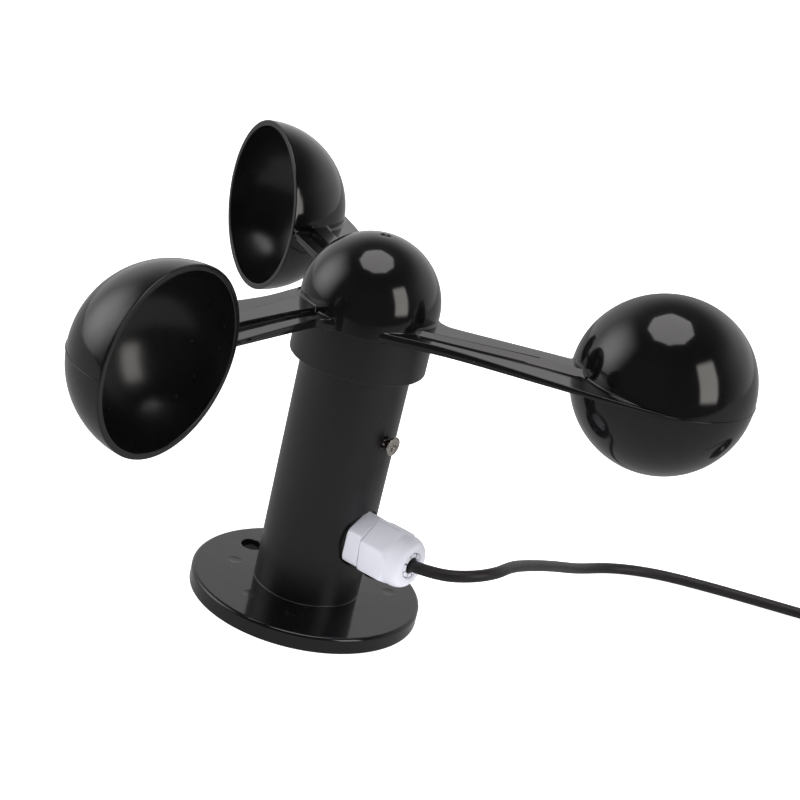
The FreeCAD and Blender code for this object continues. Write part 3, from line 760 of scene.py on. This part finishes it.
def make_hub():
    """Domed hub with its skirt, hollow inside, on a boss round the shaft."""
    dome_z = hub_high[2] - HUB_R
    inner_r = HUB_R - HUB_WALL
    skirt_r = HUB_R - 0.25
    part_z = ARM_Z - PLATE_T / 2 - 0.1
    outline = [(SHAFT_BORE_R, SHAFT_BORE_TOP_Z), (SHAFT_BORE_R, BOSS_Z), (3.2, BOSS_Z), (3.2, BOSS_Z + 0.6)]
    outline += [(BOSS_R, BOSS_Z + 0.8), (BOSS_R, dome_z + 16.5)]
    steps = 40
    for i in range(steps + 1):
        angle = radians(76 - 76 * i / steps)
        outline.append((inner_r * cos(angle), dome_z + inner_r * sin(angle)))
    skirt = [(inner_r, SKIRT_Z + 2), (inner_r, SKIRT_Z), (skirt_r, SKIRT_Z)]
    skirt += [(skirt_r, part_z), (HUB_R, part_z + 0.12), (HUB_R, dome_z - 2)]
    outline += rounded(skirt, [0, 0.35, 0.45, 0.1, 0.12, 0], 5)
    lip = math.acos((DIMPLE_R + 0.35) / HUB_R)
    for i in range(2 * steps + 1):
        angle = lip * i / (2 * steps)
        outline.append((HUB_R * cos(angle), dome_z + HUB_R * sin(angle)))
    apex = dome_z + HUB_R
    outline += [(1.72, apex - 0.10), (1.58, apex - 0.17), (DIMPLE_R, apex - 0.28), (1.35, apex - 0.42)]
    outline += [(1.1, apex - 0.47), (0.5, apex - 0.42), (0.0, apex - 0.40)]
    vertices, faces = lathe(outline, WALL_SEGMENTS)
    hub = new_piece("hub_dome", vertices, faces, "rotor", "gloss_black", ["rotor_hub"])
    hub.data.materials.append(M["satin_black"])
    for face in hub.data.polygons:
        if face.center.z < (part_z + 0.05) * MM:
            face.material_index = 1


for arm_index in range(3):
    make_cup_and_arm(arm_index)
make_hub()


# --- stand
GLAND_AZIMUTH = radians(-32.0)
GLAND_Z = 26.4
SEAT_X = 14.0
GASKET_X = 15.2
GLAND_FLATS = 15.8
HEX_SHARPNESS = 30.0
HEX_SEGMENTS = 240
GLAND_HEX_END = 20.45
NUT_X = 20.58
NUT_HEX_END = 30.1
NUT_TURN = radians(8.0)
SPOT_FACE_R = 8.65
SCREW_FACE_X = 18.8
SCREW_Z = 57.3
NOSE_X = 34.2
TUBE_BORE_R = 13.8
TUBE_FOOT_R = 15.7
GLAND_HOLE_R = 6.2
HOLES = ((-19.0, 15.2), (19.0, 15.2))
HOLE_R = 3.25
EJECTOR_MARKS = ((-22.2, 2.3), (-14.5, -16.8), (-0.6, -21.2), (24.3, 5.6))


def side_place(height):
    """Puts shapes turned about Z onto an axis that leaves the stand's side at a height."""
    turn = Matrix.Rotation(GLAND_AZIMUTH, 4, "Z") @ Matrix.Rotation(pi / 2, 4, "Y")
    return Matrix.Translation((0, 0, height)) @ turn


def make_base():
    """Flange with its two bolt holes and the faint rings of the mould's ejector pins."""
    plug_r, plug_top = 14.0, BASE_T + 0.4
    outline = rounded(
        [(0, 0), (BASE_R, 0), (BASE_R, BASE_T), (plug_r, BASE_T), (plug_r, plug_top), (0, plug_top)],
        [0, 0.4, 1.0, 0, 0, 0], 8,
    )
    vertices, faces = lathe(outline, WALL_SEGMENTS)
    flange = new_piece("base_disc", vertices, faces, "stand", "gloss_black", ["base_flange"])
    wide_r = HOLE_R + 0.35
    hole = [(0, -1), (HOLE_R + 0.3, -1), (HOLE_R + 0.3, 0), (HOLE_R, 0.3), (HOLE_R, BASE_T - 0.35)]
    hole += [(HOLE_R + 0.10, BASE_T - 0.12), (wide_r, BASE_T), (wide_r, BASE_T + 1), (0, BASE_T + 1)]
    cutters = []
    for x, y in HOLES:
        v, f = lathe(hole, 64)
        cutters.append((placed(v, Matrix.Translation((x, y, 0))), f))
    cut(flange, cutters)
    parts = []
    mark = [(0, -0.2), (2.55, -0.2), (2.55, 0.004), (2.49, 0.014), (2.40, 0.019)]
    mark += [(2.31, 0.014), (2.25, 0.004), (0, 0.003)]
    for x, y in EJECTOR_MARKS:
        v, f = lathe(mark, 48)
        parts.append((placed(v, Matrix.Translation((x, y, BASE_T))), f))
    new_piece("ejector_marks", *joined(*parts), "stand", "gloss_black")


def make_tube():
    """Tapered tube with a small foot fillet, the gland's spot face and hole, and the screw's hole."""
    fillet = 0.35
    outer = []
    for i in range(9):
        angle = pi / 2 * i / 8
        r = TUBE_FOOT_R + fillet - fillet * sin(angle)
        outer.append((r, BASE_T + 0.02 + fillet - fillet * cos(angle)))
    wall = [(TUBE_FOOT_R, BASE_T + fillet), (TUBE_TOP_R, TUBE_TOP_Z)]
    wall += [(TUBE_BORE_R, TUBE_TOP_Z), (TUBE_BORE_R, BASE_T)]
    outer += rounded(wall, [0, 0.25, 0.2, 0], 4)[1:]
    vertices, faces = lathe(outer, WALL_SEGMENTS, closed=True)
    tube = new_piece("tube_wall", vertices, faces, "stand", "satin_black", ["stand_tube"])
    outside_x = SEAT_X + 6
    spot_face = [(0, SEAT_X), (SPOT_FACE_R, SEAT_X), (SPOT_FACE_R, outside_x), (0, outside_x)]
    gland_hole = [(0, 10), (GLAND_HOLE_R, 10), (GLAND_HOLE_R, outside_x), (0, outside_x)]
    screw_hole = [(0, 12), (1.55, 12), (1.55, 15.1), (2.45, 15.95), (2.45, 18), (0, 18)]
    cutters = []
    holes = ((spot_face, 96, GLAND_Z), (gland_hole, 64, GLAND_Z), (screw_hole, 48, SCREW_Z))
    for outline, segments, height in holes:
        v, f = lathe(outline, segments)
        cutters.append((placed(v, side_place(height)), f))
    cut(tube, cutters)


make_base()
make_tube()


def soft_min(a, b, k):
    h = min(max(0.5 + 0.5 * (b - a) / k, 0.0), 1.0)
    return b * (1 - h) + a * h - k * h * (1 - h)


def hex_radius(angle):
    """Radius of a hexagon with rounded corners; a corner points along angle 0."""
    total = 0.0
    for k in range(6):
        c = cos(angle - radians(30 + 60 * k))
        if c > 0:
            total += (c / (GLAND_FLATS / 2)) ** HEX_SHARPNESS
    return total ** (-1 / HEX_SHARPNESS)


def interpolate(profile, x):
    for (x0, r0), (x1, r1) in zip(profile, profile[1:]):
        if x <= x1:
            return r0 + (r1 - r0) * (x - x0) / (x1 - x0)
    return profile[-1][1]


def hexed_lathe(stations, envelope, inner, turn=0.0, blend=0.3):
    """Hexagon turned off by an envelope, closed along the inner outline; both end edges are rounded."""
    edge = 0.3
    rows = []
    for x in stations:
        limit = interpolate(envelope, x)
        inset = max(edge - (x - stations[0]), edge - (stations[-1] - x), 0.0)
        shrink = edge - math.sqrt(max(edge**2 - inset**2, 0.0))
        row = []
        for k in range(HEX_SEGMENTS):
            angle = 2 * pi * k / HEX_SEGMENTS
            r = soft_min(hex_radius(angle - turn), limit, blend) - shrink
            row.append((r * cos(angle), r * sin(angle), x))
        rows.append(row)
    for r, x in inner:
        rows.append(circle(r, x, HEX_SEGMENTS))
    vertices = [v for row in rows for v in row]
    return vertices, ring_faces(len(rows), HEX_SEGMENTS, closed=True)


def claw_meshes(place):
    """Claws that grip the seal, seen in the nut's mouth."""
    claw_count, rings = 8, 7
    gap = radians(6.5)
    outline = rounded(
        [(2.75, 25.0), (4.6, 25.0), (4.1, 31.6), (3.76, 33.0), (3.74, 34.05), (2.5, 34.05), (2.5, 32.6)],
        [0, 0.2, 0.5, 0.2, 0.18, 0.18, 0.1], 4, closed=True,
    )
    claws = []
    for k in range(claw_count):
        start = 2 * pi * (k + 0.5) / claw_count + gap / 2
        width = 2 * pi / claw_count - gap
        rows = []
        for i in range(rings):
            angle = start + width * i / (rings - 1)
            rows += [(r * cos(angle), r * sin(angle), x) for r, x in outline]
        claws.append((placed(rows, place), tube_faces(rings, len(outline))))
    return claws


def make_gland_body(place):
    """Threaded body with its hexagon and claws."""
    end = GLAND_HEX_END
    stations = [GASKET_X, GASKET_X + 0.05, GASKET_X + 0.15] + spread(GASKET_X + 0.3, end - 0.3, 24)
    stations += [end - 0.15, end - 0.05, end]
    envelope = [(GASKET_X, 8.6), (GASKET_X + 1.0, 9.5), (end - 0.6, 9.5), (end, 9.0)]
    inner = [(6.6, end), (6.1, end + 0.02), (6.0, end + 5), (2.75, end + 5)]
    inner += [(2.75, 7.2), (5.7, 7.2), (6.15, 7.7), (6.15, GASKET_X)]
    v, f = hexed_lathe(stations, envelope, inner)
    body = joined((placed(v, place), f), *claw_meshes(place))
    new_piece("gland_hex", *body, "stand", "gland_white", ["gland_body"])


def make_dome_nut(place):
    """Nut with a hexagon at its foot and a domed nose round the cable's mouth."""
    stations = [NUT_X, NUT_X + 0.05, NUT_X + 0.15] + spread(NUT_X + 0.3, NUT_HEX_END - 2.2, 24)
    stations += spread(NUT_HEX_END - 2.1, NOSE_X - 1.2, 64) + spread(NOSE_X - 1.15, NOSE_X, 14)
    dome = []
    for i in range(33):
        t = i / 32
        x = NUT_HEX_END - 0.4 + (NOSE_X - NUT_HEX_END + 0.4) * t
        drop = 1 - math.sqrt(max(1 - (t * 0.93) ** 2.6, 0))
        dome.append((x, 7.86 - 2.9 * drop))
    envelope = [(NUT_X, 9.0), (NUT_X + 0.6, 9.5), (NUT_HEX_END - 2.6, 9.5)]
    envelope += [(NUT_HEX_END - 1.9, 9.0), (NUT_HEX_END - 1.0, 8.25)]
    envelope += dome
    end_r = dome[-1][1]
    inner = rounded(
        [(end_r, NOSE_X), (3.9, NOSE_X), (3.9, NOSE_X - 1.2), (5.2, NOSE_X - 3.2), (6.2, 27.2), (6.2, NUT_X)],
        [0, 0.5, 0.3, 0, 0, 0], 6,
    )[1:]
    v, f = hexed_lathe(stations, envelope, inner, NUT_TURN, blend=0.4)
    new_piece("dome_nut", placed(v, place), f, "stand", "gland_white", ["gland_dome_nut"])


def make_gland_rubber(place):
    """Gasket squeezed out slightly under the body, and the seal round the cable."""
    outline = rounded(
        [(6.2, SEAT_X), (8.0, SEAT_X), (8.25, SEAT_X + 0.6), (8.0, GASKET_X), (6.2, GASKET_X)],
        [0, 0.2, 0.4, 0.2, 0], 5, closed=True,
    )
    v, f = lathe(outline, 96, closed=True)
    new_piece("gasket_ring", placed(v, place), f, "stand", "black_rubber", ["gland_gasket"])
    outline = rounded(
        [(1.75, 19.2), (2.74, 19.2), (2.74, 32.0), (2.46, 32.6), (2.46, 33.7), (1.75, 33.7)],
        [0, 0.2, 0.2, 0.2, 0.3, 0.2], 6, closed=True,
    )
    v, f = lathe(outline, 64, closed=True)
    new_piece("seal_sleeve", placed(v, place), f, "stand", "black_rubber", ["gland_seal"])


make_gland_body(side_place(GLAND_Z))
make_dome_nut(side_place(GLAND_Z))
make_gland_rubber(side_place(GLAND_Z))


def recess_arm(turn):
    """One arm of the cross recess, narrower at its floor."""
    wide, floor_wide, top, floor = 1.2, 0.5, SCREW_FACE_X + 0.4, SCREW_FACE_X - 1.1
    corners = []
    for half_x, half_y, z in ((wide, 0.34, top), (floor_wide, 0.2, floor)):
        corners += [(-half_x, -half_y, z), (half_x, -half_y, z), (half_x, half_y, z), (-half_x, half_y, z)]
    faces = [(3, 2, 1, 0), (4, 5, 6, 7), (0, 1, 5, 4), (1, 2, 6, 5), (2, 3, 7, 6), (3, 0, 4, 7)]
    return placed(corners, Matrix.Rotation(radians(turn), 4, "Z")), faces


def make_side_screw():
    """Countersunk cross-recess screw, its head standing a little proud of the stand."""
    face = SCREW_FACE_X
    place = side_place(SCREW_Z)
    head_r = 2.85
    corners = [(0, face - 2.4), (1.3, face - 2.4), (1.4, face - 1.95)]
    corners += [(head_r, face - 0.45), (head_r, face), (0, face)]
    head = rounded(corners, [0, 0, 0.1, 0.1, 0.14, 0], 6)
    v, f = lathe(head, 64)
    screw = new_piece("screw_head", placed(v, place), f, "stand", "screw_steel", ["side_screw"])
    recess = [recess_arm(turn) for turn in (20, 110)]
    cut(screw, [(placed(v, place), f) for v, f in recess])
    thread = [(0, 9.75), (0.5, 10.2), (1.2, 10.9)]
    for i in range(11):
        z = 11.1 + 0.5 * i
        thread += [(1.15, z), (1.4, z + 0.2), (1.15, z + 0.4)]
    thread += [(1.15, 16.7), (0, 16.8)]
    v, f = lathe(thread, 32)
    new_piece("screw_thread", placed(v, place), f, "stand", "screw_steel")


make_side_screw()


# --- cable's tie and bare end
def lead_mesh(k, r, start, stop, twist_depth):
    """One core from the jacket's end, fanned out to side k and settling onto the surface."""
    end = Vector(TAIL_ROUTE[-1]) / MM
    along = end - Vector(TAIL_ROUTE[-2]) / MM
    along.z = 0
    along.normalize()
    across = Vector((-along.y, along.x, 0))
    start_z = 2.2 if k == 0 else 1.35
    count, steps = 14, 28
    rows = []
    for i in range(steps + 1):
        s = start + (stop - start) * i / steps
        fan = 0.6 * k + 0.158 * max(s, 0) * k + 0.5 * sin(0.22 * s + 1.3 * k) * smooth_step(s / 10)
        centre = end + along * s + across * fan
        centre.z = start_z - smooth_step(s / 9) * (start_z - 0.55)
        for j in range(count):
            a = 2 * pi * j / count
            rr = r * (1 + twist_depth * cos(4 * a + 2.5 * s))
            rows.append(tuple(centre + across * (rr * cos(a)) + Vector((0, 0, 1)) * (rr * sin(a))))
    return rows, tube_faces(steps + 1, count)


def make_cable_end():
    """Three cores out of the jacket, each a curved insulated wire with a tinned, twisted tip."""
    pieces = []
    for k, colour in zip((-1, 0, 1), ("lead_red", "lead_yellow", "lead_black")):
        v, f = lead_mesh(k, 0.5, -2.0, 24.0, 0.0)
        wire = new_piece(f"lead_{k + 2}", v, f, "stand", "lead_insulation", ["lead_wires"], M[colour])
        v, f = lead_mesh(k, 0.3, 23.5, 29.0, 0.12)
        tip = new_piece(f"lead_tip_{k + 2}", v, f, "stand", "lead_tin", ["lead_tips"])
        pieces += [wire, tip]
    return pieces


def tie_loop(x, y, z0, z1):
    """Flat band with a raised wire down its middle, bent round the turns."""
    half_y = COIL_TURNS * COIL_PITCH / 2 + 0.35
    half_width, half_t = 1.6, 0.22
    corners = [(y - half_y, z0), (y + half_y, z0), (y + half_y, z1), (y - half_y, z1)]
    loop = rounded(corners, [2.0] * 4, 6, closed=True)
    corners = [(-half_width, -half_t), (half_width, -half_t), (half_width, half_t), (-half_width, half_t)]
    profile = rounded(corners, [0.2] * 4, 3, closed=True)
    profile = [(a, b + (0.25 if abs(a) < 0.5 and b > 0 else 0)) for a, b in profile]
    rows = []
    centre = Vector((y, (z0 + z1) / 2))
    for i, (py, pz) in enumerate(loop):
        ahead = Vector(loop[(i + 1) % len(loop)])
        behind = Vector(loop[i - 1])
        tangent = (ahead - behind).normalized()
        outward = Vector((tangent.y, -tangent.x))
        if outward.dot(Vector((py, pz)) - centre) < 0:
            outward = -outward
        for a, b in profile:
            rows.append((x + a, py + outward.x * (b + half_t), pz + outward.y * (b + half_t)))
    return rows, ring_faces(len(loop), len(profile), closed=True)


def tie_twist(x, y, z1):
    """The tie's two ends twisted together on top of the coil."""
    steps, count = 40, 12
    rows = []
    for i in range(steps + 1):
        t = i / steps
        centre = Vector((x, y - 2.5 + 10.0 * t, z1 + 0.9 + 0.3 * sin(pi * t)))
        turn = 5 * 2 * pi * t
        fade = 0.55 + 0.45 * smooth_step(min(t, 1 - t) * 12)
        for j in range(count):
            a = 2 * pi * j / count
            u, w = 0.95 * cos(a) * fade, 0.42 * sin(a) * fade
            across = centre.x + u * cos(turn) - w * sin(turn)
            rows.append((across, centre.y, centre.z + u * sin(turn) * 0.75 + w * cos(turn)))
    return rows, tube_faces(steps + 1, count)


def make_tie():
    """Coated wire tie round the coil's turns."""
    low, high = node_box("cable_tie")
    coil_low, coil_high = node_box("cable_coil")
    x = (low[0] + high[0]) / 2
    y = (coil_low[1] + coil_high[1]) / 2 - COIL_MEAN_R
    z0, z1 = coil_low[2] - 0.05, coil_high[2] + 0.05
    band = joined(tie_loop(x, y, z0, z1), tie_twist(x, y, z1))
    return new_piece("tie_band", *band, "stand", "tie_black", ["cable_tie"])


leads = make_cable_end()
tie = make_tie()


# --- finishes on the CAD's own pieces
CAD_FINISH = {
    "bearing_carrier": "satin_black",
    "rotor_shaft": "shaft_steel",
    "bearing_spacer": "spacer_alu",
    "retaining_clip": "shaft_steel",
    "magnet_holder": "holder_grey",
    "magnets": "magnet_nickel",
    "circuit_board": "board_green",
    "board_screws": "screw_steel",
    "hall_sensor": "chip_black",
    "driver_chip": "chip_black",
    "small_components": "component_tan",
    "filter_capacitor": "component_can",
    "wire_header": "header_white",
    "wire_plug": "header_white",
    "inner_cable": "cable_jacket",
    "inner_wires": "lead_red",
}
BEARING_FINISH = {
    "outer_ring": "bearing_steel",
    "inner_ring": "bearing_steel",
    "shields": "shield_steel",
    "balls": "bearing_steel",
    "cage": "cage_nylon",
}
for bearing in ("upper_bearing_", "lower_bearing_"):
    CAD_FINISH.update({bearing + part: finish for part, finish in BEARING_FINISH.items()})
for node, finish in CAD_FINISH.items():
    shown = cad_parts[node]
    for slot in shown.material_slots:
        slot.material = M[finish]
    if not shown.material_slots:
        shown.data.materials.append(M[finish])


# --- floor, lights and world
# Radiance of the table that reflections see, and how far forward its light reaches
TABLE_GLOW = 0.44
TABLE_DARK_Y, TABLE_LIT_Y = -0.32, -0.22
STUDIO_CENTRE = (0.03, 0, 0.09)


def sheet(name, corners):
    """Flat piece of one face for the stage."""
    mesh = bpy.data.meshes.new(name)
    mesh.from_pydata(corners, [], [tuple(range(len(corners)))])
    return linked(name, mesh)


def rectangle(low_x, low_y, high_x, high_y, z):
    return [(low_x, low_y, z), (high_x, low_y, z), (high_x, high_y, z), (low_x, high_y, z)]


def only_glow(n, strength, colour):
    n.set(Base_Color=(0.0, 0.0, 0.0, 1.0), Roughness=1.0)
    n.bsdf.inputs["Emission Color"].default_value = (*colour, 1.0)
    n.bsdf.inputs["Specular IOR Level"].default_value = 0.0
    n.link(strength, n.bsdf.inputs["Emission Strength"])


def only_in_reflections(card):
    card.visible_camera = False
    card.visible_diffuse = False
    card.visible_shadow = False


def make_floor():
    """Pale floor that the camera sees."""
    half = 4.0
    floor = sheet("floor", rectangle(-half, -half, half, half, 0))
    n = Nodes("floor_white")
    cloud = n.mapped(n.noise(6.0, 3.0), 0.3, 0.7, 0.0, 1.0)
    n.link(n.mixed(cloud, (0.90, 0.90, 0.91), (0.92, 0.92, 0.925)), n.bsdf.inputs["Base Color"])
    n.set(Roughness=0.75, IOR=1.3)
    n.bsdf.inputs["Emission Color"].default_value = (1.0, 1.0, 1.0, 1.0)
    n.bsdf.inputs["Emission Strength"].default_value = 1.0
    floor.data.materials.append(n.material)
    floor.visible_glossy = False


def make_table_glow():
    """Dimmer table just under the floor that only reflections see."""
    half, front, drop = 2.5, -0.34, 0.002
    table = sheet("table_glow", rectangle(-half, front, half, half, -drop))
    n = Nodes("table_glow")
    split = n.add("ShaderNodeSeparateXYZ")
    n.link(n.where, split.inputs["Vector"])
    near = n.mapped(split.outputs["Y"], TABLE_DARK_Y, TABLE_LIT_Y, 0.0, TABLE_GLOW)
    only_glow(n, near, (1.0, 1.0, 1.0))
    table.data.materials.append(n.material)
    only_in_reflections(table)


def edge_fade(n, axis_value, reach, fade):
    """1 in the middle of a card, falling smoothly to 0 at its edge."""
    edge = n.add("ShaderNodeMapRange", interpolation_type="SMOOTHSTEP")
    n.link(n.math("ABSOLUTE", axis_value, 0.0), edge.inputs["Value"])
    set_range(edge, reach * (1 - fade), reach, 1.0, 0.0)
    return edge.outputs["Result"]


def glow_card(name, corners, place, radiance, colour, fades=()):
    """Glowing card seen in reflections; fades are (axis, reach, fade) for edges that aren't crisp."""
    card = sheet(name, corners)
    card.location = place
    card.rotation_euler = (Vector(STUDIO_CENTRE) - Vector(place)).to_track_quat("Z", "Y").to_euler()
    n = Nodes(name)
    split = n.add("ShaderNodeSeparateXYZ")
    n.link(n.where, split.inputs["Vector"])
    strength = n.mapped(n.noise(2.0, 2.0), 0.2, 0.8, radiance * 0.96, radiance * 1.04)
    only_glow(n, strength, colour)
    shown = [edge_fade(n, split.outputs[axis], reach, fade) for axis, reach, fade in fades]
    if shown:
        n.link(n.math("MULTIPLY", *shown), n.bsdf.inputs["Alpha"])
    card.data.materials.append(n.material)
    only_in_reflections(card)


def window_card(name, place, width, height, radiance, colour, fade):
    """Rectangular card that fades towards its edges."""
    fades = (("X", width, fade), ("Y", height, fade))
    glow_card(name, rectangle(-width, -height, width, height, 0), place, radiance, colour, fades)


def octagon_card(name, place, reach, radiance, colour):
    """Octagonal softbox with crisp edges."""
    turns = [2 * pi * k / 8 + pi / 8 for k in range(8)]
    glow_card(name, [(reach * cos(a), reach * sin(a), 0) for a in turns], place, radiance, colour)


def fill_light(name, place, size, radiance):
    """Area light that neither the camera nor reflections show."""
    light = bpy.data.lights.new(name, "AREA")
    light.shape = "RECTANGLE"
    light.size, light.size_y = size
    light.energy = radiance * pi * size[0] * size[1]
    lamp = linked(name, light)
    lamp.location = place
    lamp.rotation_euler = (Vector(STUDIO_CENTRE) - Vector(place)).to_track_quat("-Z", "Y").to_euler()
    lamp.visible_camera = False
    lamp.visible_glossy = False


def around(azimuth, elevation, distance):
    """Point seen from the rotor at an azimuth turned from the camera's side towards +X."""
    a, e = radians(azimuth), radians(elevation)
    return Vector(STUDIO_CENTRE) + Vector((sin(a) * cos(e), -cos(a) * cos(e), sin(e))) * distance


def make_lights():
    """Cards give the reflections; fill lights give the rest."""
    octagon_card("top_octagon", around(-70, 85.0, 1.0), 0.43, 3.6, (1.0, 0.97, 0.985))
    window_card("left_glow", around(-92, 20, 1.1), 0.70, 0.74, 3.3, (1.0, 0.985, 1.0), 0.95)
    window_card("right_window", around(55, 22, 1.0), 0.235, 0.44, 4.3, (1.0, 0.965, 0.91), 0.30)
    fill_light("top_fill", around(0, 85.0, 1.0), (0.8, 0.8), 3.0)
    fill_light("left_fill", around(-86, 20, 1.1), (0.95, 0.85), 2.6)
    fill_light("right_fill", around(55, 22, 1.0), (0.42, 0.80), 3.0)


def make_world():
    """Bright backdrop behind and beside the sensor, dark room on the camera's side and a dimmer ceiling."""
    world = bpy.data.worlds.new("studio")
    bpy.context.scene.world = world
    world.use_nodes = True
    tree = world.node_tree
    background = tree.nodes["Background"]
    coordinate = tree.nodes.new("ShaderNodeTexCoord")
    split = tree.nodes.new("ShaderNodeSeparateXYZ")
    tree.links.new(coordinate.outputs["Generated"], split.inputs["Vector"])
    product = tree.nodes.new("ShaderNodeMath")
    product.operation = "MULTIPLY"
    ramps = (("Y", -0.40, 0.70, 0.05, 0.88), ("Z", 0.40, 0.85, 1.0, 0.2))
    for factor, (axis, start, stop, low, high) in zip(product.inputs, ramps):
        ramp = tree.nodes.new("ShaderNodeMapRange")
        ramp.interpolation_type = "SMOOTHSTEP"
        set_range(ramp, start, stop, low, high)
        tree.links.new(split.outputs[axis], ramp.inputs["Value"])
        tree.links.new(ramp.outputs["Result"], factor)
    tree.links.new(product.outputs[0], background.inputs["Strength"])
    background.inputs["Color"].default_value = (1.0, 0.98, 1.0, 1.0)


make_floor()
make_table_glow()
make_lights()
make_world()
bpy.context.scene.view_settings.view_transform = "Standard"

bpy.context.view_layer.update()
